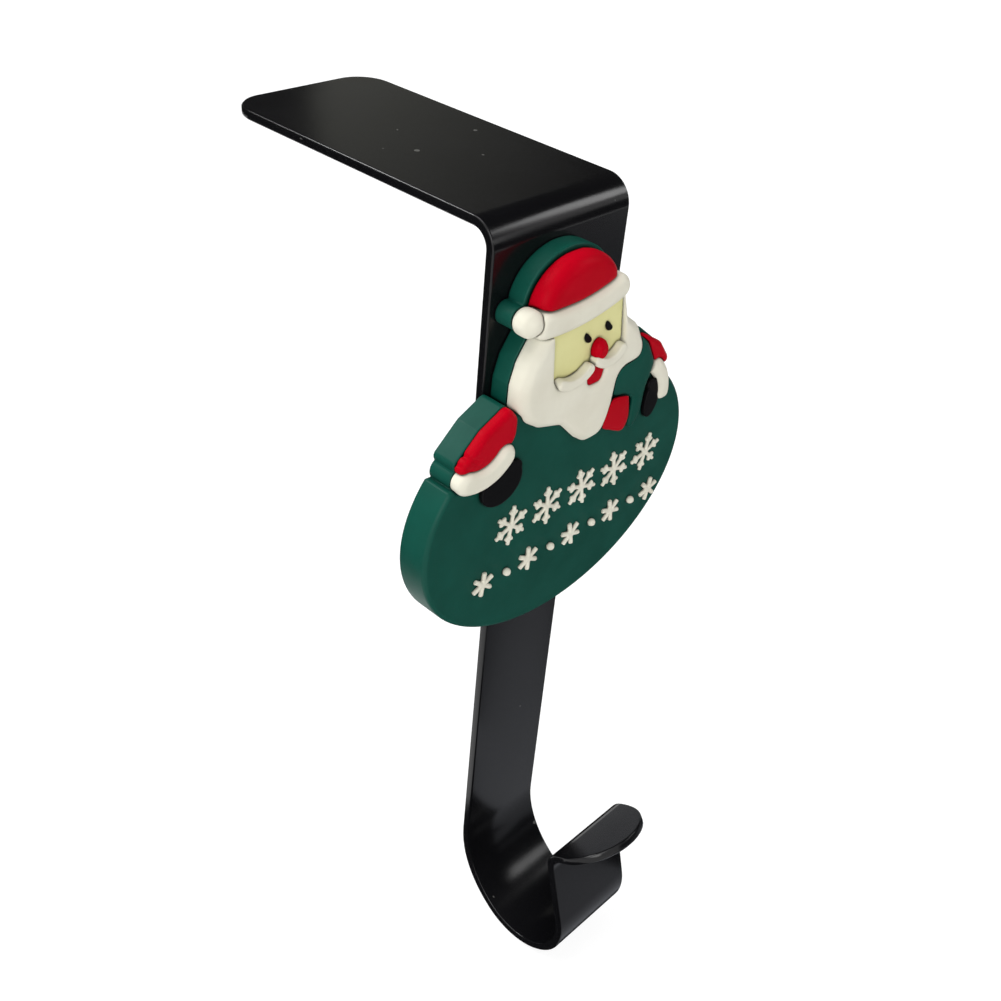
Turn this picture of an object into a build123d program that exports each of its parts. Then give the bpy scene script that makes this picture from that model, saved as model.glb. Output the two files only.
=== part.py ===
"""Mantel stocking holder: a folded steel strip with a moulded soft-PVC badge glued to its front.

Millimetres, +Z up. The arm lies on the mantel and points to +Y, the leg hangs with its back face
at y = 0, and the front faces -Y. The origin is at the mantel's upper edge, on the centre line.
"""

import os

from build123d import *

# Steel strip
plate_w = 30.0          # width of the arm and the upper leg
strip_w = 19.0          # width of the lower leg and the hook
sheet = 1.7             # thickness of the painted sheet
arm_len = 61.0          # arm's free end, behind the leg's back face
arm_corner_r = 6.0      # rounded corners of the arm's free end
fold_r = 2.8            # inside radius of the fold between arm and leg
leg_drop = 130.8        # straight back face of the leg, below the arm's underside
plate_drop = 48.0       # where the wide plate steps in to the strip, behind the badge
shoulder_r = 2.5        # rounded corners of that step
heel_r = 20.4           # outside radius of the hook's rear bend
heel_turn = 57.3        # degrees
toe_r = 12.2            # outside radius of the hook's front bend
toe_turn = 138.5        # degrees
wall_len = 13.3         # straight front wall of the hook
crest_r = 3.1           # inside radius where the lip folds out
crest_turn = 72.4       # degrees
lip_len = 10.2          # straight lip beyond that fold
lip_tip_r = 9.3         # rounded tip of the lip
sheet_edge = 0.3        # broken edges under the paint

# Badge: its place on the leg, and heights above the leg's front face
badge_x = 0.4           # sign's centre, from the strip's centre line
badge_z = -47.7         # sign's centre, from the arm's underside
head_level = 3.3        # green backing behind the head
arm_level = 4.5         # green backing behind the arms
sign_level = 5.7        # green sign
cap_top = 7.0
brim_top = 7.6
pompom_top = 7.4
beard_top = 7.0
face_top = 6.0
eye_top = 6.3
nose_top = 7.3
moustache_top = 7.6
mouth_top = 6.6
sleeve_top = 6.4
cuff_top = 7.2
mitten_top = 6.6
scarf_top = 6.7
tail_top = 7.1

# Sloped front edges of the badge's pieces
base_edge = 0.5
cap_edge = 1.4
brim_edge = 0.9
cuff_edge = 0.8
beard_edge = 1.2
nose_edge = 0.6
sleeve_edge = 0.6
pompom_edge = 1.4
pompom_heel = 0.6       # slope at the pompom's back edge

# Badge outlines: the sign about its centre, the figure from a point above the sign's top edge
sign_w = 62.8
sign_h = 46.6
figure_rise = 1.4
# Corner of the sign that the left arm takes up
sign_cut = ((-34.0, -11.8), (-25.0, -12.7), (-15.0, -12.7), (-15.0, 4.0), (-34.0, 4.0))
cap_w = 18.4
cap_h = 15.0
cap_at = (-2.2, 11.5)
cap_rim = 0.5           # green backing seen round the cap
brim_line = ((-10.2, 10.1), (-2.4, 10.0), (6.1, 11.7))
brim_h = 4.3
pompom_d = 4.4
pompom_at = (-12.4, 10.8)
beard_corners = (
    (-9.0, 9.4), (-12.7, 4.0), (-13.8, 0.4), (-13.9, -3.2), (-12.4, -5.8), (-9.2, -8.0), (-3.7, -9.6),
    (-0.2, -13.2), (2.6, -15.2), (6.2, -15.0), (8.4, -12.2), (9.4, -4.0), (15.0, -3.6),
    (15.2, -0.6), (13.1, 3.2), (10.0, 5.5), (8.4, 11.0), (-1.0, 13.5),
)
beard_corner_r = 1.9
face_corners = ((-8.0, 9.0), (8.0, 10.5), (9.4, 0.6), (-7.0, -1.4))
face_corner_r = 1.6
eye_w = 1.4
eye_h = 1.9
eye_slant = 25          # degrees
eyes_at = ((0.2, 4.7), (5.0, 5.3))
nose_d = 3.0
nose_at = (3.0, 2.4)
moustache_lines = (
    ((-5.8, -0.9), (-2.4, -1.6), (0.6, -0.3)),
    ((2.4, 0.6), (5.6, -0.1), (8.2, 1.6)),
)
moustache_h = 1.6
mouth_corners = ((0.7, -0.2), (1.1, -3.9), (4.5, -4.0), (5.3, -0.2))
mouth_corner_r = 1.1
# Each arm: corners of its backing and sleeve, a cuff by its arc, a mitten as an oval and a thumb
left_arm = dict(
    backing=((-15.4, -1.9), (-13.6, -4.0), (-14.0, -12.0), (-24.4, -11.4), (-25.5, -8.8), (-20.6, -4.4)),
    sleeve=((-15.4, -1.9), (-13.6, -4.0), (-13.7, -7.0), (-16.0, -11.0), (-24.4, -11.4), (-25.5, -8.8),
            (-20.6, -4.4)),
    cuff=((-24.0, -11.6), (-20.0, -12.0), (-16.1, -9.8)),
    cuff_h=3.9,
    mitten=((-16.4, -14.8), 4.4, 3.7, 15),
    thumb=((-13.4, -12.8), 1.2),
)
right_arm = dict(
    backing=((12.5, 2.4), (16.2, 0.8), (20.9, -2.9), (24.3, -7.4), (24.0, -13.0), (14.0, -13.0)),
    sleeve=((14.4, -2.2), (15.4, 0.6), (20.6, -2.6), (24.7, -7.9), (19.2, -6.8), (17.2, -3.2)),
    cuff=((19.9, -6.9), (21.7, -9.3), (22.5, -12.6)),
    cuff_h=3.0,
    mitten=((19.9, -12.7), 3.9, 1.9, 80),
    thumb=((19.0, -10.0), 1.0),
)
arm_corner = 1.1
scarf_corners = (
    (13.0, 1.8), (16.6, -1.2), (19.1, -5.6), (17.3, -10.4), (17.2, -14.2), (15.2, -17.6), (13.8, -16.4),
    (14.2, -11.0), (11.8, -9.5), (8.6, -8.7), (8.0, -5.0),
)
scarf_corner_r = 0.8
tail_corners = ((7.0, -8.0), (13.2, -8.9), (14.1, -14.0), (12.9, -17.4), (5.0, -13.6))
tail_corner_r = 1.1


def side_profile():
    """Side view of the folded strip: u runs forward, v runs up."""
    arm = Line((-arm_len, 0), (-fold_r, 0))
    fold = JernArc(arm @ 1, arm % 1, fold_r, -90)
    leg = Line(fold @ 1, (0, -leg_drop))
    heel = JernArc(leg @ 1, leg % 1, heel_r, heel_turn)
    toe = JernArc(heel @ 1, heel % 1, toe_r, toe_turn)
    wall = Line(toe @ 1, toe @ 1 + (toe % 1) * wall_len)
    crest = JernArc(wall @ 1, wall % 1, crest_r, -crest_turn)
    lip = Line(crest @ 1, crest @ 1 + (crest % 1) * lip_len)
    back = Wire([arm, fold, leg, heel, toe, wall, crest, lip])
    return make_face(back.offset_2d(sheet, side=Side.LEFT, closed=True))


def front_outline(height):
    """Front view of the strip: the wide plate steps in to the narrow strip with rounded shoulders."""
    plate = Pos(0, (sheet - plate_drop) / 2) * Rectangle(plate_w, sheet + plate_drop)
    strip = Pos(0, -height / 2) * Rectangle(strip_w, height)
    outline = plate + strip
    step_w = (plate_w - strip_w) / 2
    step = [v for v in outline.vertices() if abs(v.Y + plate_drop) < sheet]
    return fillet(step, min(shoulder_r, 0.48 * step_w))


def make_bracket():
    """The strip: folded side view, trimmed to its front view, with rounded ends and edges."""
    side = Plane(origin=(0, 0, 0), x_dir=(0, -1, 0), z_dir=(-1, 0, 0))
    folded = extrude(side * side_profile(), amount=plate_w / 2, both=True)
    box = folded.bounding_box()
    front = Plane(origin=(0, box.max.Y, 0), x_dir=(1, 0, 0), z_dir=(0, -1, 0))
    strip = folded & extrude(front * front_outline(-box.min.Z), amount=box.size.Y)
    arm_end = strip.edges().filter_by(Axis.Z).group_by(Axis.Y)[-1]
    strip = fillet(arm_end, arm_corner_r)
    across = [e for e in strip.edges() if abs(e.length - sheet) < sheet / 1000]
    lip_end = sorted(across, key=lambda e: e.center().Y)[:2]
    strip = fillet(lip_end, min(lip_tip_r, 0.49 * strip_w, 0.95 * lip_len))
    rims = [f for f in strip.faces() if abs(f.normal_at().X) > 0.01 or f.center().Y > arm_len - sheet / 10]
    edges = [e for f in rims for e in f.edges() if e.length > 1.01 * sheet]
    return chamfer(edges, sheet_edge)


def block(outline, low, high):
    """A straight piece of the badge, between two heights above the leg's front face."""
    place = Plane(origin=(badge_x, -sheet - low, badge_z), x_dir=(1, 0, 0), z_dir=(0, -1, 0))
    return extrude(place * outline, amount=high - low)


def pour(outline, low, high, edge):
    """A raised piece of the badge with its front edge sloped."""
    solid = block(outline, low, high)
    return chamfer(solid.faces().sort_by(Axis.Y)[0].edges(), edge)


def on_figure(outline):
    """An outline of the figure, moved to its place above the sign."""
    return Pos(0, sign_h / 2 + figure_rise) * outline


def band(points, height):
    return on_figure(SlotArc(ThreePointArc(*points), height))


def oval(at, half_w, half_h, turn=0):
    return on_figure(Pos(*at) * Rot(0, 0, turn) * Ellipse(half_w, half_h))


def disc(at, radius):
    return on_figure(Pos(*at) * Circle(radius))


def polygon(corners):
    return on_figure(make_face(Polyline(*corners, close=True)))


def panel(corners, corner_r):
    return fillet(polygon(corners).vertices(), corner_r)


def largest(shape):
    return shape.solids().sort_by(SortBy.VOLUME)[-1]


def make_badge():
    """The badge's pieces by name: each colour is a pour of its own, seated on the green backing."""
    arms = {"left": left_arm, "right": right_arm}
    cap_line = oval(cap_at, cap_w / 2, cap_h / 2)
    cap_back = oval(cap_at, cap_w / 2 + cap_rim, cap_h / 2 + cap_rim)
    brim_band = band(brim_line, brim_h)
    pompom_line = disc(pompom_at, pompom_d / 2)
    pompom_back = disc(pompom_at, pompom_d / 2 - pompom_heel / 2)
    beard_face = panel(beard_corners, beard_corner_r)
    face_line = panel(face_corners, face_corner_r)
    mouth_line = panel(mouth_corners, mouth_corner_r)
    cuff_bands = {side: band(arm["cuff"], arm["cuff_h"]) for side, arm in arms.items()}

    head_back = block(beard_face + cap_back + brim_band + pompom_back, 0, head_level)
    sign = pour(Ellipse(sign_w / 2, sign_h / 2) - polygon(sign_cut), 0, sign_level, base_edge)
    arm_backs = [block(panel(arm["backing"], arm_corner) + cuff_bands[side], 0, arm_level)
                 for side, arm in arms.items()]
    base = head_back + sign + arm_backs

    pieces = {"badge_base": base}
    pompom = pour(pompom_line, head_level, pompom_top, pompom_edge)
    pompom = chamfer(pompom.faces().sort_by(Axis.Y)[-1].edges(), pompom_heel)
    brim = pour(brim_band, head_level, brim_top, brim_edge) - pompom - base
    cap = pour(cap_line, head_level, cap_top, cap_edge) - brim - pompom - base
    cap = cap.solids().sort_by(Axis.Z)[-1]
    face = block(face_line, head_level, face_top) - base - brim
    mouth = block(mouth_line, head_level, mouth_top) - base - face
    opening = block(face_line, head_level, beard_top) + block(mouth_line, head_level, beard_top)
    beard = largest(pour(beard_face, head_level, beard_top, beard_edge) - opening - brim - base)
    nose = pour(disc(nose_at, nose_d / 2), face_top, nose_top, nose_edge)
    eye_line = Rot(0, 0, 90 + eye_slant) * SlotOverall(eye_h, eye_w)
    eyes = [block(on_figure(Pos(*at) * eye_line), face_top, eye_top) for at in eyes_at]
    rolls = [block(band(line, moustache_h), face_top, moustache_top) for line in moustache_lines]
    moustache = Compound([largest(roll - beard - mouth - nose) for roll in rolls])
    pieces.update(pompom=pompom, cap_brim=brim, cap=cap, face=face, mouth=mouth, beard=beard, nose=nose)
    pieces.update(eyes=Compound(eyes), moustache=moustache)

    scarf = block(panel(scarf_corners, scarf_corner_r), arm_level, scarf_top) - base - beard
    tail = block(panel(tail_corners, tail_corner_r), sign_level, tail_top) - beard - scarf
    pieces.update(scarf=scarf, scarf_tail=tail)
    for side, arm in arms.items():
        cuff = pour(cuff_bands[side], arm_level, cuff_top, cuff_edge) - base - scarf
        sleeve_line = panel(arm["sleeve"], arm_corner)
        sleeve = pour(sleeve_line, arm_level, sleeve_top, sleeve_edge) - base - cuff - beard - scarf
        hand = oval(*arm["mitten"]) + disc(*arm["thumb"])
        mitten = block(hand, arm_level, mitten_top) - base - cuff - scarf
        pieces.update({f"cuff_{side}": cuff, f"sleeve_{side}": sleeve, f"mitten_{side}": mitten})
    return pieces


if __name__ == "__main__":
    os.makedirs("parts", exist_ok=True)
    parts = {"bracket": make_bracket()}
    parts.update(make_badge())
    for name, solid in parts.items():
        print(name, solid.is_valid, round(solid.volume, 2), len(solid.solids()))
        export_step(solid, f"parts/{name}.step")
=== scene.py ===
# %% [markdown]
# # A mantel stocking holder
# The holder is one folded strip of black painted steel with a soft PVC badge glued to its front.
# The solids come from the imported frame, in metres and in their final place. This lesson gives them
# their looks: soft edges on the moulded colours, rows of raised flakes, paint, light and a camera.

# %% Load the frame
import math

import bpy
import bmesh
from mathutils import Matrix, Vector


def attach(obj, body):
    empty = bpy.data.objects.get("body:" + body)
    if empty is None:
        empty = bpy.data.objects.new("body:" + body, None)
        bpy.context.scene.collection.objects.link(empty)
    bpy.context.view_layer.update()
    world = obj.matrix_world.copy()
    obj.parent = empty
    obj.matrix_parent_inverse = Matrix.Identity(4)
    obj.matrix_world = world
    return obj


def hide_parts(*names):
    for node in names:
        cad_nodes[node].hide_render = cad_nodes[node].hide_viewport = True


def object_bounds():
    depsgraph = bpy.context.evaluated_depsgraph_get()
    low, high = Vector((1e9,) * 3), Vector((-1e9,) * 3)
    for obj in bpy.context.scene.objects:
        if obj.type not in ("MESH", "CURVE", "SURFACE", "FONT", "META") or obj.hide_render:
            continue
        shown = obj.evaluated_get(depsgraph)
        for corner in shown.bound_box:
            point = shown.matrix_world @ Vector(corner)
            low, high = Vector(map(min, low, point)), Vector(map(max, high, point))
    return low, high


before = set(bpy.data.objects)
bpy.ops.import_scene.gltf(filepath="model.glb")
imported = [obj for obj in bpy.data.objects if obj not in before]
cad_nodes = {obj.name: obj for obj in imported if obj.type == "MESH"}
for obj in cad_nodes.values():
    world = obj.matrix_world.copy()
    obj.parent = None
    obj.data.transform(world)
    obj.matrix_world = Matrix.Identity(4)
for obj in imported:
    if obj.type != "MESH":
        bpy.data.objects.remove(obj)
cad_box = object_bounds()
MM = 0.001
print("solids:", sorted(cad_nodes))
print("box in mm:", [[round(c / MM, 1) for c in corner] for corner in cad_box])

# %% [markdown]
# ## Camera
# A picture taken from close by shows strong perspective, so the camera's distance matters as much
# as its angle. The place, the angles and the lens were fitted to the straight edges of the arm and
# the leg. The camera's axes are built from the angles, and the roll turns them about the view.

# %% Place the camera
camera_at = Vector((-128.73, -107.88, 66.48)) * MM
camera_azimuth = math.radians(-48.474)
camera_elevation = math.radians(35.489)
camera_roll = math.radians(5.199)
picture_px = 1001
focal_px = 1199.9
sensor_mm = 36.0


def camera_axes(azimuth, elevation, roll):
    """Right, up and back axes of a camera that looks from an azimuth and an elevation."""
    flat = math.cos(elevation)
    back = Vector((math.sin(azimuth) * flat, -math.cos(azimuth) * flat, math.sin(elevation)))
    right = Vector((0, 0, 1)).cross(back).normalized()
    up = back.cross(right)
    turn = Matrix.Rotation(roll, 3, back)
    return Matrix((turn @ right, turn @ up, back)).transposed()


camera = bpy.data.objects.new("camera", bpy.data.cameras.new("camera"))
camera.data.sensor_width = sensor_mm
camera.data.lens = focal_px / picture_px * sensor_mm
camera.data.clip_start = 0.01
camera.matrix_world = Matrix.Translation(camera_at) @ camera_axes(
    camera_azimuth, camera_elevation, camera_roll).to_4x4()
bpy.context.scene.collection.objects.link(camera)
bpy.context.scene.camera = camera
print("lens in mm:", round(camera.data.lens, 2))

# %% [markdown]
# ## Node helpers
# Materials and node trees are built by code, so a few short helpers keep the rest readable: one
# adds a node with its settings, one fills a node's inputs with links or values, and one turns a
# colour as it looks on screen into the linear colour that shaders use.

# %% Helpers for nodes


def add_node(tree, kind, **settings):
    node = tree.nodes.new(kind)
    for name, value in settings.items():
        setattr(node, name, value)
    return node


def fill_socket(tree, socket, value):
    """Links a socket to another socket, or sets it to a value."""
    if isinstance(value, bpy.types.NodeSocket):
        tree.links.new(value, socket)
    else:
        socket.default_value = value


def feed(tree, node, **values):
    """Fills a node's inputs by name, with an underscore for each space."""
    for name, value in values.items():
        fill_socket(tree, node.inputs[name.replace("_", " ")], value)
    return node


def srgb(red, green, blue):
    """A colour given as it looks on screen, 0 to 255, as the linear colour that shaders use."""
    def linear(c):
        c /= 255
        return c / 12.92 if c <= 0.04045 else ((c + 0.055) / 1.055) ** 2.4
    return (linear(red), linear(green), linear(blue), 1.0)


# %% [markdown]
# ## Surface helpers
# Every finish here starts the same way: a Principled shader that reads Object coordinates, so that
# a pattern keeps its size in millimetres on every piece. Noise varies the colour and the roughness,
# and a fine noise becomes bump.

# %% Helpers for finishes


def start_material(name):
    material = bpy.data.materials.new(name)
    material.use_nodes = True
    tree = material.node_tree
    shader = tree.nodes["Principled BSDF"]
    place = add_node(tree, "ShaderNodeTexCoord").outputs["Object"]
    return material, tree, shader, place


def noise(tree, place, scale, detail):
    node = add_node(tree, "ShaderNodeTexNoise")
    feed(tree, node, Vector=place, Scale=scale, Detail=detail)
    return node.outputs["Fac"]


def spread(tree, value, low, high, start=0.3, end=0.7):
    """Stretches a value to a range; the start and the end given suit a noise."""
    node = add_node(tree, "ShaderNodeMapRange")
    feed(tree, node, Value=value, From_Min=start, From_Max=end, To_Min=low, To_Max=high)
    return node.outputs["Result"]


def blend_colours(tree, amount, first, second):
    """Mixes two colours; a Mix node set to colours takes them in its inputs 6 and 7."""
    node = add_node(tree, "ShaderNodeMix", data_type="RGBA")
    for index, value in ((0, amount), (6, first), (7, second)):
        fill_socket(tree, node.inputs[index], value)
    return node.outputs[2]


def bumped(tree, shader, height, strength, distance):
    node = add_node(tree, "ShaderNodeBump")
    feed(tree, node, Height=height, Strength=strength, Distance=distance)
    tree.links.new(node.outputs["Normal"], shader.inputs["Normal"])


# %% [markdown]
# ## Black paint
# The strip is painted gloss black. Paint over sheet steel isn't a perfect mirror: it has a fine
# orange peel, and here and there a speck of dust under the gloss. One noise gives the peel as bump,
# one varies the roughness a little, and the rare peaks of a third are the specks.

# %% Black paint
paint_cloud = 55.0
paint_roughness = (0.16, 0.21)
paint_gloss = 0.30
dust_scale = 560.0
dust_from, dust_full = 0.87, 0.89
peel_scale = 800.0
peel_strength = 0.05
bump_height = 0.1 * MM


def black_paint():
    material, tree, shader, place = start_material("black_paint")
    cloud = noise(tree, place, paint_cloud, 3.0)
    tint = blend_colours(tree, spread(tree, cloud, 0, 1), srgb(10, 10, 12), srgb(15, 15, 17))
    dust = spread(tree, noise(tree, place, dust_scale, 0.0), 0, 1, dust_from, dust_full)
    tint = blend_colours(tree, dust, tint, srgb(84, 84, 82))
    tree.links.new(tint, shader.inputs["Base Color"])
    tree.links.new(spread(tree, cloud, *paint_roughness), shader.inputs["Roughness"])
    shader.inputs["Specular IOR Level"].default_value = paint_gloss
    bumped(tree, shader, noise(tree, place, peel_scale, 4.0), peel_strength, bump_height)
    return material


finishes = {"black_paint": black_paint()}
print("paint nodes:", len(finishes["black_paint"].node_tree.nodes))

# %% [markdown]
# ## Soft PVC
# Each colour of the badge is a pour of soft PVC: matt to satin, a little cloudy in its colour, with
# a fine grain from the mould. In the narrow corner at the foot of each pour the colour is darkened
# as painted shade, and the Ambient Occlusion node finds such places, because little open space lies
# round them. One function makes all the colours, so that they look like one batch.

# %% Soft PVC
# Painted shade in narrow corners: how far it looks for open space, its samples, and the occlusion
# values where it is full and where it is gone
painted_shade_reach = 0.7 * MM
painted_shade_samples = 12
painted_shade_full, painted_shade_none = 0.35, 0.85
pvc_cloud = 140.0
roughness_spread = 0.05
grain_scale = 1800.0
grain_strength = 0.10


def painted_crevice_shade(tree, tint, dark):
    """Darkens a colour in narrow corners with painted shade."""
    open_space = add_node(tree, "ShaderNodeAmbientOcclusion", samples=painted_shade_samples)
    feed(tree, open_space, Distance=painted_shade_reach)
    clear = spread(tree, open_space.outputs["AO"], 0, 1, painted_shade_full, painted_shade_none)
    return blend_colours(tree, clear, dark, tint)


def soft_pvc(name, colour, shade, roughness, gloss, painted_shade_share):
    """Clouds from a colour to a shade; in narrow corners it darkens to a share of the shade, as
    painted shade.
    """
    material, tree, shader, place = start_material(name)
    cloud = noise(tree, place, pvc_cloud, 4.0)
    tint = blend_colours(tree, spread(tree, cloud, 0, 1), colour, shade)
    # The dark colour of the painted shade in narrow corners
    dark = tuple(c * painted_shade_share for c in shade[:3]) + (1.0,)
    tree.links.new(painted_crevice_shade(tree, tint, dark), shader.inputs["Base Color"])
    rough = spread(tree, cloud, roughness - roughness_spread, roughness + roughness_spread)
    tree.links.new(rough, shader.inputs["Roughness"])
    shader.inputs["Specular IOR Level"].default_value = gloss
    bumped(tree, shader, noise(tree, place, grain_scale, 3.0), grain_strength, bump_height)
    return material


# Colour, shade, roughness, gloss and the share of the shade left as painted shade in narrow corners
pvc_looks = {
    "green_pvc": (srgb(9, 74, 62), srgb(6, 66, 55), 0.45, 0.13, 0.15),
    "red_pvc": (srgb(184, 1, 27), srgb(172, 1, 21), 0.42, 0.03, 0.20),
    "cream_pvc": (srgb(230, 227, 211), srgb(221, 217, 200), 0.45, 0.06, 0.40),
    "skin_pvc": (srgb(226, 223, 163), srgb(218, 214, 153), 0.50, 0.06, 0.30),
    "black_pvc": (srgb(13, 12, 14), srgb(9, 9, 10), 0.45, 0.08, 0.20),
}
for name, looks in pvc_looks.items():
    finishes[name] = soft_pvc(name, *looks)
print("finishes:", sorted(finishes))

# %% [markdown]
# ## Geometry Nodes helpers
# Two trees follow, and they start and end alike. The start gives a tree its named inputs. The end
# makes copies real, because an export drops instances, and sets the finish. The result is then
# turned into a plain mesh, and the modifiers are removed.

# %% Helpers for trees


def start_tree(name, inputs):
    """A tree with named inputs: the tree, its inputs' sockets, and their identifiers by name."""
    tree = bpy.data.node_groups.new(name, "GeometryNodeTree")
    keys = {}
    for label, kind in inputs:
        socket = tree.interface.new_socket(label, in_out="INPUT", socket_type="NodeSocket" + kind)
        keys[label] = socket.identifier
    tree.interface.new_socket("Geometry", in_out="OUTPUT", socket_type="NodeSocketGeometry")
    return tree, add_node(tree, "NodeGroupInput").outputs, keys


def end_tree(tree, geometry, finish):
    real = feed(tree, add_node(tree, "GeometryNodeRealizeInstances"), Geometry=geometry)
    coat = add_node(tree, "GeometryNodeSetMaterial")
    feed(tree, coat, Geometry=real.outputs["Geometry"], Material=finish)
    tree.links.new(coat.outputs["Geometry"], add_node(tree, "NodeGroupOutput").inputs["Geometry"])


def use_tree(piece, tree, keys, values):
    """Puts a tree on a piece, with its inputs set by their identifiers."""
    modifier = piece.modifiers.new(tree.name, "NODES")
    modifier.node_group = tree
    for label, value in values.items():
        modifier[keys[label]] = value


def to_plain_mesh(piece):
    """Turns the result of the modifiers into the piece's own mesh, and removes them."""
    graph = bpy.context.evaluated_depsgraph_get()
    mesh = bpy.data.meshes.new_from_object(piece.evaluated_get(graph), depsgraph=graph)
    piece.modifiers.clear()
    piece.data = mesh
    return piece


# %% [markdown]
# ## Soft edges
# A colour that is poured into a mould comes out with rounded edges, and a fine dark line shows at
# its foot, where it meets the layer below. Rounding could be modelled edge by edge. Here a rule
# does it: the solid is remeshed into small even faces, and the tree blurs the places of its points,
# with a weight that is small on the layer below and grows within a short distance from it.

# %% A tree that softens a pour
foot_freedom = 0.12


def soft_pour_tree():
    tree, given, keys = start_tree("Soft pour", (
        ("Geometry", "Geometry"), ("Layer below", "Object"), ("Held within", "Float"),
        ("Rounds", "Int"), ("Finish", "Material")))
    below = feed(tree, add_node(tree, "GeometryNodeObjectInfo"), Object=given["Layer below"])
    near = add_node(tree, "GeometryNodeProximity", target_element="FACES")
    tree.links.new(below.outputs["Geometry"], near.inputs[0])
    free = add_node(tree, "ShaderNodeMapRange")
    feed(tree, free, Value=near.outputs["Distance"])
    feed(tree, free, From_Max=given["Held within"], To_Min=foot_freedom)
    place = add_node(tree, "GeometryNodeInputPosition").outputs["Position"]
    blur = add_node(tree, "GeometryNodeBlurAttribute", data_type="FLOAT_VECTOR")
    feed(tree, blur, Value=place, Iterations=given["Rounds"], Weight=free.outputs["Result"])
    move = add_node(tree, "GeometryNodeSetPosition")
    feed(tree, move, Geometry=given["Geometry"], Position=blur.outputs["Value"])
    smooth = add_node(tree, "GeometryNodeSetShadeSmooth")
    feed(tree, smooth, Geometry=move.outputs["Geometry"])
    end_tree(tree, smooth.outputs["Geometry"], given["Finish"])
    return tree, keys


soft_tree, soft_keys = soft_pour_tree()


def make_soft(piece, below, grain_mm, rounds, held_mm, finish):
    """Remeshes a piece into even faces and softens it on the layer below."""
    remesh = piece.modifiers.new("Even faces", "REMESH")
    remesh.mode = "VOXEL"
    remesh.voxel_size = grain_mm * MM
    use_tree(piece, soft_tree, soft_keys, {
        "Layer below": cad_nodes[below], "Held within": held_mm * MM, "Rounds": rounds,
        "Finish": finishes[finish]})
    return to_plain_mesh(piece)


print("soft pour inputs:", sorted(soft_keys))

# %% [markdown]
# ## The badge's colours
# Every pour starts as a copy of its solid, with the loose triangles joined. It gets the layer that
# holds it, a face size, a number of blur rounds and a distance within which it is held. Big,
# pillowy pours such as the beard and the cap take more rounds, and small ones only a few. The
# moustache tapers to almost nothing on the face, so it is first made a little fuller, or the remesh
# would leave slits. The nose is made fuller too, because the blur shrinks what is small.

# %% Soften the badge
weld_within = 0.001 * MM


def merged_copy(name, node):
    """A copy of a solid's mesh with its loose triangles joined, as a new object."""
    mesh = cad_nodes[node].data.copy()
    mesh.name = name
    mesh.materials.clear()
    body = bmesh.new()
    body.from_mesh(mesh)
    bmesh.ops.remove_doubles(body, verts=body.verts, dist=weld_within)
    body.to_mesh(mesh)
    body.free()
    piece = bpy.data.objects.new(name, mesh)
    bpy.context.scene.collection.objects.link(piece)
    return piece


# Layer below, face size in mm, blur rounds, held within in mm, finish
pours = {
    "beard": ("badge_base", 0.18, 24, 0.4, "cream_pvc"),
    "face": ("badge_base", 0.20, 2, 0.8, "skin_pvc"),
    "cap": ("badge_base", 0.20, 45, 0.8, "red_pvc"),
    "cap_brim": ("badge_base", 0.16, 24, 0.5, "cream_pvc"),
    "pompom": ("badge_base", 0.12, 36, 0.3, "cream_pvc"),
    "eyes": ("face", 0.06, 6, 0.1, "black_pvc"),
    "nose": ("face", 0.08, 12, 0.2, "red_pvc"),
    "moustache": ("face", 0.10, 26, 0.3, "cream_pvc"),
    "mouth": ("badge_base", 0.10, 6, 0.4, "red_pvc"),
    "sleeve_left": ("badge_base", 0.10, 36, 0.3, "red_pvc"),
    "sleeve_right": ("badge_base", 0.12, 18, 0.3, "red_pvc"),
    "cuff_left": ("badge_base", 0.12, 20, 0.3, "cream_pvc"),
    "cuff_right": ("badge_base", 0.12, 18, 0.3, "cream_pvc"),
    "mitten_left": ("badge_base", 0.10, 12, 0.2, "black_pvc"),
    "mitten_right": ("badge_base", 0.10, 10, 0.2, "black_pvc"),
    "scarf": ("badge_base", 0.14, 80, 0.2, "green_pvc"),
    "scarf_tail": ("badge_base", 0.16, 170, 0.2, "red_pvc"),
}
swell = {"moustache": 0.14, "nose": 0.10}
pieces = {}
for node, recipe in pours.items():
    piece = merged_copy(node + "_soft", node)
    if node in swell:
        fuller = piece.modifiers.new("Fuller", "DISPLACE")
        fuller.strength = swell[node] * MM
        fuller.mid_level = 0.0
    pieces[node] = make_soft(piece, *recipe)
    print(node, "faces:", len(pieces[node].data.polygons))

# %% [markdown]
# ## Drops for eyes
# The small pours of the face aren't quite regular. Each eye is a drop that leans, with a tip above
# and a round belly below. It could be drawn as a curve of its own. Here the oval is kept and its
# points are moved by a rule: the higher a point lies, the nearer it comes to a line that leans.

# %% Shape the eyes
tip_width = 0.55
belly_width = 1.20
eye_lean = 0.34
eye_shift = 0.16


def span(points, axis):
    """Least and greatest place of some points along an axis, 0 for X to 2 for Z."""
    places = [point.co[axis] for point in points]
    return min(places), max(places)


def share(value, first, last):
    """How far a value lies from the first to the last, from 0 to 1."""
    return min(1.0, max(0.0, (value - first) / (last - first)))


def half_of(piece, right):
    """The points of the right or the left one of a pair, by the middle of the whole piece."""
    points = piece.data.vertices
    middle = sum(span(points, 0)) / 2
    return [point for point in points if (point.co.x > middle) == right]


def shape_drop(points):
    """Pulls an oval into a leaning drop with its tip up."""
    middle = sum(span(points, 0)) / 2
    low, high = span(points, 2)
    for point in points:
        up = share(point.co.z, low, high)
        width = belly_width + (tip_width - belly_width) * up
        lean = (eye_shift + eye_lean * (1 - 2 * up)) * MM
        point.co.x = middle + (point.co.x - middle) * width + lean


for right in (False, True):
    shape_drop(half_of(pieces["eyes"], right))
print("eyes span in mm:", [round(c / MM, 2) for c in span(pieces["eyes"].data.vertices, 0)])

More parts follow.
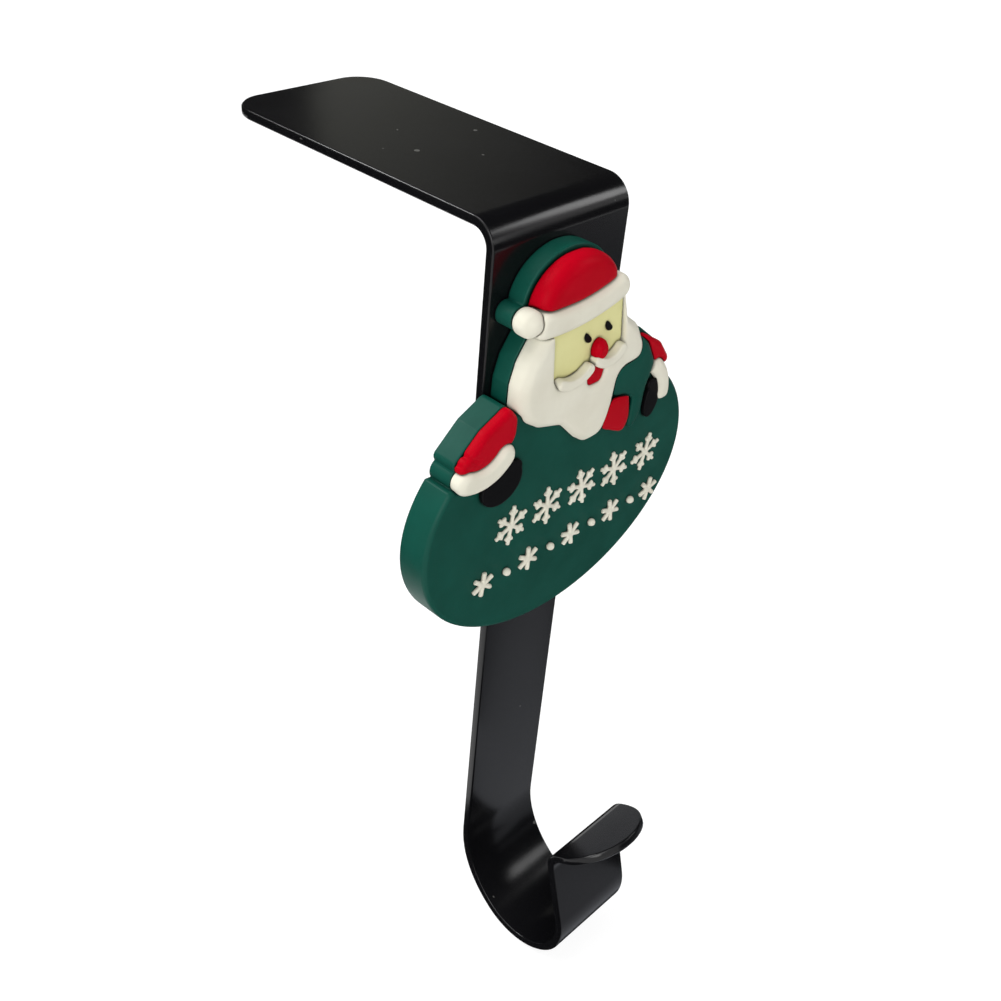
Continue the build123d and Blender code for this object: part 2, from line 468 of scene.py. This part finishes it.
# %% [markdown]
# ## Nose and moustache
# The nose bulges over the moustache's edge, and one half of the moustache hangs at its outer end.
# Both keep their form and are only stretched or lowered by how far out a point lies.

# %% Shape the nose and the moustache
nose_width = 0.90
nose_drop = 1.14
nose_bulge = 1.30
moustache_hang = 0.8


def shape_nose(points):
    """Stretches the nose down from its top and forward from its back, and narrows it a little."""
    middle = sum(span(points, 0)) / 2
    back, top = span(points, 1)[1], span(points, 2)[1]
    for point in points:
        point.co.x = middle + (point.co.x - middle) * nose_width
        point.co.z = top + (point.co.z - top) * nose_drop
        point.co.y = back + (point.co.y - back) * nose_bulge


def hang_end(points):
    """Lowers a roll, the more the further right a point lies."""
    left, right = span(points, 0)
    for point in points:
        point.co.z -= moustache_hang * MM * share(point.co.x, left, right)


shape_nose(pieces["nose"].data.vertices)
hang_end(half_of(pieces["moustache"], True))
print("nose's front in mm:", round(span(pieces["nose"].data.vertices, 1)[0] / MM, 2))

# %% [markdown]
# ## Creases in a sleeve
# The left sleeve has two small creases by its cuff, as cloth has at a bent wrist. They could be
# bump, but a crease this wide shows in the outline too, so the sleeve's own points are pressed in,
# the deeper the nearer they lie to a short line.

# %% Press the creases
# Start and end in the front view and depth, in mm
creases = (((-23.6, -30.2), (-20.8, -31.6), 0.25), ((-24.9, -31.3), (-22.6, -32.4), 0.20))
crease_half = 0.36


def press_crease(piece, start, end, depth):
    """Presses points in along a line in the front view, in millimetres."""
    first, last = (Vector((p[0], p[1])) * MM for p in (start, end))
    run = last - first
    outward = [point.normal.copy() for point in piece.data.vertices]
    for point, normal in zip(piece.data.vertices, outward):
        flat = Vector((point.co.x, point.co.z))
        along = min(1.0, max(0.0, (flat - first).dot(run) / run.length_squared))
        off = (flat - first - run * along).length / (crease_half * MM)
        fade = 1.0 - along ** 2
        point.co -= normal * depth * MM * fade * math.exp(-off * off)


for crease in creases:
    press_crease(pieces["sleeve_left"], *crease)
print("creases:", len(creases))

# %% [markdown]
# ## A slit in the backing
# The backing's solid has a slit behind the left mitten that no moulding would have. A remesh would
# round every edge of the backing, so the slit alone is mended: its walls are deleted, and the two
# openings that they leave are filled.

# %% Close the slit
slit_low = (-16.3, -35.8)
slit_high = (-14.5, -34.8)


def in_slit(point):
    """Tells whether a point lies in the slit's window in the front view."""
    flat = (point.x / MM, point.z / MM)
    return all(low < place < high for low, place, high in zip(slit_low, flat, slit_high))


def close_slit(body):
    walls = [face for face in body.faces if all(in_slit(corner.co) for corner in face.verts)]
    bmesh.ops.delete(body, geom=walls, context="FACES")
    bmesh.ops.holes_fill(body, edges=[edge for edge in body.edges if edge.is_boundary])
    bmesh.ops.recalc_face_normals(body, faces=body.faces)
    print("walls of the slit:", len(walls))


# %% [markdown]
# ## The green backing and the painted strip
# These two keep crisp edges, so they aren't remeshed. Their flat triangles are dissolved into whole
# faces. The backing's edges get a small bevel, and the strip's broken edges are in its solid
# already. Weighted normals let the wide faces rule, so that the narrow edge faces shade as if they
# were round.

# %% Crisp pieces
flat_within = math.radians(0.5)
backing_edge = 0.30
edge_angle = math.radians(30)
edge_steps = 3
wide_face_weight = 80


def crisp_copy(name, node, finish):
    piece = merged_copy(name, node)
    body = bmesh.new()
    body.from_mesh(piece.data)
    if node == "badge_base":
        close_slit(body)
    bmesh.ops.dissolve_limit(body, angle_limit=flat_within, verts=body.verts, edges=body.edges)
    for face in body.faces:
        face.smooth = True
    body.to_mesh(piece.data)
    body.free()
    piece.data.materials.append(finishes[finish])
    return piece


def rule_by_wide_faces(piece):
    weighted = piece.modifiers.new("Wide faces rule", "WEIGHTED_NORMAL")
    weighted.weight = wide_face_weight
    weighted.keep_sharp = False
    return to_plain_mesh(piece)


backing = crisp_copy("badge_base_soft", "badge_base", "green_pvc")
bevel = backing.modifiers.new("Soft edges", "BEVEL")
bevel.width = backing_edge * MM
bevel.segments = edge_steps
bevel.limit_method = "ANGLE"
bevel.angle_limit = edge_angle
bevel.use_clamp_overlap = False
pieces["badge_base"] = rule_by_wide_faces(backing)
pieces["bracket"] = rule_by_wide_faces(crisp_copy("bracket_skin", "bracket", "black_paint"))
for node in ("badge_base", "bracket"):
    print(node, "faces:", len(pieces[node].data.polygons))

# %% [markdown]
# ## Raised flakes
# The lower half of the badge carries two rows of raised cream strokes. A flake is six bars with two
# short side bars each, and it repeats along a row, so Geometry Nodes make it: lines become round
# bars, the bars are copied round a centre, and the flake is copied to the points of a row. Small
# helpers give the tree's arithmetic and its copies short names.

# %% Helpers for the flakes


def maths(tree, operation, first, second):
    node = add_node(tree, "ShaderNodeMath", operation=operation)
    fill_socket(tree, node.inputs[0], first)
    fill_socket(tree, node.inputs[1], second)
    return node.outputs[0]


def vector(tree, x=0.0, y=0.0, z=0.0):
    return feed(tree, add_node(tree, "ShaderNodeCombineXYZ"), X=x, Y=y, Z=z).outputs["Vector"]


def bar(tree, start, end):
    line = add_node(tree, "GeometryNodeCurvePrimitiveLine")
    return feed(tree, line, Start=start, End=end).outputs["Curve"]


def copied(tree, points, shape, turn):
    """Copies a shape to points, each copy turned about Y."""
    node = add_node(tree, "GeometryNodeInstanceOnPoints")
    feed(tree, node, Points=points, Instance=shape, Rotation=vector(tree, y=turn))
    return node.outputs["Instances"]


# %% [markdown]
# One ray of a flake is three straight lines: the bar, and two side bars that leave it about half
# way out at a slant. A circle swept along the lines makes them round, with closed ends.

# %% One ray of a flake
fork_share = 0.55
side_out = 0.72
side_up = 0.70
ray_sides = 12


def flake_ray(tree, arm, side, stroke):
    fork = maths(tree, "MULTIPLY", arm, fork_share)
    tip = maths(tree, "ADD", fork, maths(tree, "MULTIPLY", side, side_up))
    lines = add_node(tree, "GeometryNodeJoinGeometry")
    tree.links.new(bar(tree, vector(tree), vector(tree, z=arm)), lines.inputs["Geometry"])
    for way in (side_out, -side_out):
        end = vector(tree, x=maths(tree, "MULTIPLY", side, way), z=tip)
        tree.links.new(bar(tree, vector(tree, z=fork), end), lines.inputs["Geometry"])
    section = add_node(tree, "GeometryNodeCurvePrimitiveCircle")
    feed(tree, section, Resolution=ray_sides, Radius=stroke)
    solid = add_node(tree, "GeometryNodeCurveToMesh")
    feed(tree, solid, Curve=lines.outputs["Geometry"], Profile_Curve=section.outputs["Curve"])
    feed(tree, solid, Fill_Caps=True)
    return solid.outputs["Mesh"]


# %% [markdown]
# Six rays round a point are a flake, and a line of points is a row. Each flake leans a little by
# chance, with a fixed seed, because poured strokes are never quite alike.

# %% A row of flakes
rays = 6
lean_seed = 7


def flake_row_tree():
    tree, given, keys = start_tree("Flake row", (
        ("Geometry", "Geometry"), ("Count", "Int"), ("First", "Vector"), ("Pitch", "Float"),
        ("Arm", "Float"), ("Side bar", "Float"), ("Stroke", "Float"), ("Lean", "Float"),
        ("Finish", "Material")))
    ray = flake_ray(tree, given["Arm"], given["Side bar"], given["Stroke"])
    index = add_node(tree, "GeometryNodeInputIndex").outputs["Index"]
    hub = feed(tree, add_node(tree, "GeometryNodeMeshLine"), Count=rays, Offset=(0, 0, 0))
    turn = maths(tree, "MULTIPLY", index, math.tau / rays)
    flake = copied(tree, hub.outputs["Mesh"], ray, turn)
    chance = add_node(tree, "FunctionNodeRandomValue", data_type="FLOAT")
    feed(tree, chance, Seed=lean_seed)
    draw = next(socket for socket in chance.outputs if socket.enabled)
    lean = maths(tree, "MULTIPLY", maths(tree, "SUBTRACT", draw, 0.5), given["Lean"])
    row = add_node(tree, "GeometryNodeMeshLine")
    feed(tree, row, Count=given["Count"], Start_Location=given["First"])
    feed(tree, row, Offset=vector(tree, x=given["Pitch"]))
    end_tree(tree, copied(tree, row.outputs["Mesh"], flake, lean), given["Finish"])
    return tree, keys


row_tree, row_keys = flake_row_tree()
print("flake row inputs:", sorted(row_keys))

# %% [markdown]
# The upper row has five large flakes. The lower row has small plain stars with a dot between each
# two; a dot is a star whose arms are shorter than its strokes are wide. The strokes are sunk a
# little into the sign's front, and the tree for soft pours joins them into one smooth skin.

# %% Lay the rows
sign_front = -7.4
stroke_sink = 0.25
row_lean = 0.5
row_grain = 0.10
row_rounds = 4
row_held = 0.2


def flake_row(name, count, first_x, row_z, pitch, arm, side_bar, stroke):
    """One row of flakes on the sign's front, in millimetres."""
    piece = bpy.data.objects.new(name, bpy.data.meshes.new(name))
    bpy.context.scene.collection.objects.link(piece)
    first = Vector((first_x, sign_front - stroke + stroke_sink, row_z)) * MM
    use_tree(piece, row_tree, row_keys, {
        "Count": count, "First": tuple(first), "Pitch": pitch * MM, "Arm": arm * MM,
        "Side bar": side_bar * MM, "Stroke": stroke * MM, "Lean": row_lean,
        "Finish": finishes["cream_pvc"]})
    return make_soft(piece, "badge_base", row_grain, row_rounds, row_held, "cream_pvc")


# Name, count, first x, row's z, pitch, arm, side bar, stroke
flake_rows = [
    flake_row("flakes_upper", 5, -12.4, -47.7, 8.5, 3.7, 1.05, 0.38),
    flake_row("stars_lower", 5, -18.0, -56.9, 10.6, 2.3, 0.0, 0.44),
    flake_row("dots_lower", 4, -12.7, -56.9, 10.6, 0.3, 0.0, 0.70),
]
for row in flake_rows:
    print(row.name, "faces:", len(row.data.polygons))

# %% [markdown]
# ## Floor and world
# The holder stands in a plain bright studio. The floor and the world look white to the camera and
# in reflections, but send less light to the object, so that pale colours keep their shape. Light
# Path tells the shader what kind of ray has come. Far from the lamps a floor gets darker, and its
# horizon would show, so the floor's own glow grows with the distance until it is as white as the
# world.

# %% White shaders
floor_bounce = 0.8
floor_shade = 0.3
near_glow = 0.84
glow_from, glow_full = 0.4, 1.0
world_fill = 0.33


def grey(value):
    return (value, value, value, 1.0)


def sees_background(tree):
    """One for a ray that comes from the camera or off something shiny or clear."""
    path = add_node(tree, "ShaderNodeLightPath").outputs
    first = maths(tree, "MAXIMUM", path["Is Camera Ray"], path["Is Glossy Ray"])
    return maths(tree, "MAXIMUM", first, path["Is Transmission Ray"])


def either_shader(tree, kind, plain, seen):
    """Ends a shader tree: one shader for light on the object, one for what is seen."""
    either = add_node(tree, "ShaderNodeMixShader")
    for socket, value in zip(either.inputs, (sees_background(tree), plain, seen)):
        tree.links.new(value, socket)
    tree.links.new(either.outputs[0], add_node(tree, kind).inputs["Surface"])


def floor_paint():
    material = bpy.data.materials.new("white_floor")
    material.use_nodes = True
    tree = material.node_tree
    tree.nodes.clear()
    plain = feed(tree, add_node(tree, "ShaderNodeBsdfDiffuse"), Color=grey(floor_bounce))
    shaded = feed(tree, add_node(tree, "ShaderNodeBsdfDiffuse"), Color=grey(floor_shade))
    place = add_node(tree, "ShaderNodeTexCoord").outputs["Object"]
    away = feed(tree, add_node(tree, "ShaderNodeVectorMath", operation="LENGTH"), Vector=place)
    whiter = spread(tree, away.outputs["Value"], near_glow, 1.0, glow_from, glow_full)
    glow = feed(tree, add_node(tree, "ShaderNodeEmission"), Color=grey(1.0), Strength=whiter)
    white = add_node(tree, "ShaderNodeAddShader")
    tree.links.new(shaded.outputs[0], white.inputs[0])
    tree.links.new(glow.outputs[0], white.inputs[1])
    either_shader(tree, "ShaderNodeOutputMaterial", plain.outputs[0], white.outputs[0])
    return material


def studio_world():
    world = bpy.data.worlds.new("studio")
    world.use_nodes = True
    tree = world.node_tree
    tree.nodes.clear()
    fill = add_node(tree, "ShaderNodeBackground")
    feed(tree, fill, Color=grey(1.0), Strength=world_fill)
    seen = add_node(tree, "ShaderNodeBackground")
    feed(tree, seen, Color=grey(1.0), Strength=1.0)
    either_shader(tree, "ShaderNodeOutputWorld", fill.outputs[0], seen.outputs[0])
    return world


# %% [markdown]
# The floor lies just under the hook, a hair lower than the object, and it is so wide that the
# camera never sees its edge. It isn't part of the object.

# %% Lay the floor
floor_gap = 0.4 * MM
floor_z = cad_box[0][2] - floor_gap
floor_half = 4.0


def stage_sheet(name, corners, material):
    """A flat sheet that isn't part of the object."""
    mesh = bpy.data.meshes.new(name)
    mesh.from_pydata(corners, [], [(0, 1, 2, 3)])
    mesh.materials.append(material)
    sheet = bpy.data.objects.new(name, mesh)
    bpy.context.scene.collection.objects.link(sheet)
    return sheet


square = ((-1, -1), (1, -1), (1, 1), (-1, 1))
stage_sheet("floor", [(x * floor_half, y * floor_half, floor_z) for x, y in square], floor_paint())
bpy.context.scene.world = studio_world()
bpy.context.scene.view_settings.view_transform = "Standard"
print("floor at", round(floor_z / MM, 1), "mm")

# %% [markdown]
# ## Lamps
# Three softboxes light the holder: a large one above and behind, a large one at the front left for
# the badge, and a narrow one at the front right, which draws the bright line along the fold. Two
# small ones only add a shine: one behind on the arm's edge, and one low in front inside the hook.

# %% Softboxes
badge_middle = Vector((0, 0, -60 * MM))


def softbox(name, at, width, height, watts):
    lamp = bpy.data.lights.new(name, "AREA")
    lamp.shape = "RECTANGLE"
    lamp.size = width
    lamp.size_y = height
    lamp.energy = watts
    stand = bpy.data.objects.new(name, lamp)
    stand.location = at
    stand.rotation_euler = (badge_middle - Vector(at)).to_track_quat("-Z", "Y").to_euler()
    stand.visible_camera = False
    bpy.context.scene.collection.objects.link(stand)


# Name, place in metres, width, height, watts
lamps = (
    ("top_box", (-0.30, 0.15, 0.75), 0.50, 0.50, 2.9),
    ("left_box", (-0.70, -0.50, 0.30), 0.45, 0.60, 4.3),
    ("right_box", (0.62, -0.40, 0.40), 0.16, 0.30, 0.85),
    ("edge_box", (-0.20, 0.48, 0.47), 0.38, 0.10, 2.4),
    ("hook_box", (0.22, -0.345, 0.07), 0.09, 0.08, 0.09),
)
for values in lamps:
    softbox(*values)
print("lamps:", len(lamps))

# %% [markdown]
# ## Cards
# Black gloss paint shows what stands round it, and in a white room it would look grey. Product
# photographers stand and lay dark cards round such a thing. These cards are seen by reflections
# alone: they give no shade and stay out of the picture. A card may fade from one end to the other,
# which gives the arm its soft gradient, so the greys are stored on the card's corners.

# %% A card
warm = (1.0, 1.0, 0.88)
cool = (0.97, 1.0, 1.08)


def card_paint():
    """Glows with the grey that is stored on a card's corners."""
    material = bpy.data.materials.new("card_paint")
    material.use_nodes = True
    tree = material.node_tree
    tree.nodes.clear()
    stored = add_node(tree, "ShaderNodeAttribute", attribute_name="grey")
    glow = add_node(tree, "ShaderNodeEmission")
    feed(tree, glow, Color=stored.outputs["Color"], Strength=1.0)
    tree.links.new(glow.outputs[0], add_node(tree, "ShaderNodeOutputMaterial").inputs["Surface"])
    return material


card_coat = card_paint()


def card(name, corners, first_grey, last_grey, tint):
    """A sheet that only reflections see; corners 0 and 3 take the first grey, 1 and 2 the last."""
    sheet = stage_sheet(name, corners, card_coat)
    layer = sheet.data.color_attributes.new("grey", "FLOAT_COLOR", "POINT")
    for corner, value in zip(layer.data, (first_grey, last_grey, last_grey, first_grey)):
        corner.color = [value * c for c in tint] + [1.0]
    for kind in ("camera", "diffuse", "transmission", "volume_scatter", "shadow"):
        setattr(sheet, "visible_" + kind, False)


# %% [markdown]
# Some cards stand in a ring, and their ends and edges are given as angles seen from the middle.
# Some lie on the floor, along a compass angle, the bright ones on a dark one. One hangs above.

# %% Place a card
card_out = 0.50


def compass(angle, distance, z):
    """A point at a compass angle from +X, in degrees."""
    turn = math.radians(angle)
    return Vector((distance * math.cos(turn), distance * math.sin(turn), z))


def upright_card(name, first, last, low, high, *looks):
    bottom, top = (max(floor_z, card_out * math.tan(math.radians(angle))) for angle in (low, high))
    ends = ((first, bottom), (last, bottom), (last, top), (first, top))
    card(name, [compass(angle, card_out, z) for angle, z in ends], *looks)


def flat_card(name, z, angle, near, far, right, left, *looks):
    ends = ((near, right), (far, right), (far, left), (near, left))
    out, side = compass(angle, 1, 0), compass(angle + 90, 1, 0)
    card(name, [out * a + side * b + Vector((0, 0, z)) for a, b in ends], *looks)


# %% [markdown]
# The standing cards come first. The one at the back right fades from dark to grey, which is the
# arm's gradient. The gap between the two cards at the front lets a thin line of the white room show
# along the fold.

# %% Standing cards
# Name, first and last angle, low and high angle, first and last grey, tint
upright_cards = (
    ("card_back", 56, 125, 6, 32, 0.02, 0.02, warm),
    ("card_back_low", 76, 150, -30, 6, 0.02, 0.02, warm),
    ("card_back_right", 36, 56, 6, 27, 0.01, 0.27, warm),
    ("card_right_back", 14, 36, 6, 27, 0.02, 0.02, warm),
    ("card_back_right_low", 14, 76, -30, 6, 0.33, 0.33, cool),
    ("card_top_back", 30, 56, 27, 46, 0.04, 0.04, warm),
    ("card_top_middle", 2, 30, 27, 46, 0.04, 0.04, warm),
    ("card_top_right", -26, 2, 27, 46, 0.04, 0.04, warm),
    ("card_right", -26, 14, -30, 27, 0.02, 0.02, warm),
    ("card_front_right", -44, -26, -30, 4, 0.03, 0.03, cool),
    ("card_front_low", -84, -44, -30, 11, 0.03, 0.03, cool),
    ("card_front_high", -84, -46, 17, 46, 0.03, 0.03, cool),
)
for values in upright_cards:
    upright_card(*values)
print("standing cards:", len(upright_cards))

# %% [markdown]
# The lying cards are what the lower strip and the hook show. The wide ones keep them dark, and the
# two narrow bright ones give the strip under the badge and the hook's front wall a soft shine.

# %% Lying cards
card_z = floor_z + floor_gap * 0.50
bright_z = floor_z + floor_gap * 0.75
over_z = 0.35
# Name, height, compass angle, near, far, right, left, first and last grey, tint
flat_cards = (
    ("card_floor", card_z, -40, -0.030, 0.110, -0.080, 0.080, 0.02, 0.02, cool),
    ("card_far", card_z, -40, 0.110, 0.420, -0.200, 0.200, 0.20, 0.20, cool),
    ("card_strip", bright_z, -40, 0.004, 0.110, -0.010, 0.012, 0.40, 0.40, cool),
    ("card_wall", bright_z, -90, 0.029, 0.080, -0.012, 0.027, 0.40, 0.40, cool),
    ("card_left", card_z, 135, 0.100, 0.600, -0.150, 0.150, 0.02, 0.02, cool),
    ("card_over", over_z, 0, 0.120, 0.400, -0.400, 0.400, 0.02, 0.02, cool),
)
for values in flat_cards:
    flat_card(*values)
print("lying cards:", len(flat_cards))

# %% [markdown]
# ## Hand the pieces over
# Each piece moves with the one body of this holder and is shown in the place of its solid, which is
# hidden. The flakes stand for no solid of their own.

# %% Ride and replace
for node, piece in pieces.items():
    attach(piece, "root")
    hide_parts(node)
for row in flake_rows:
    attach(row, "root")
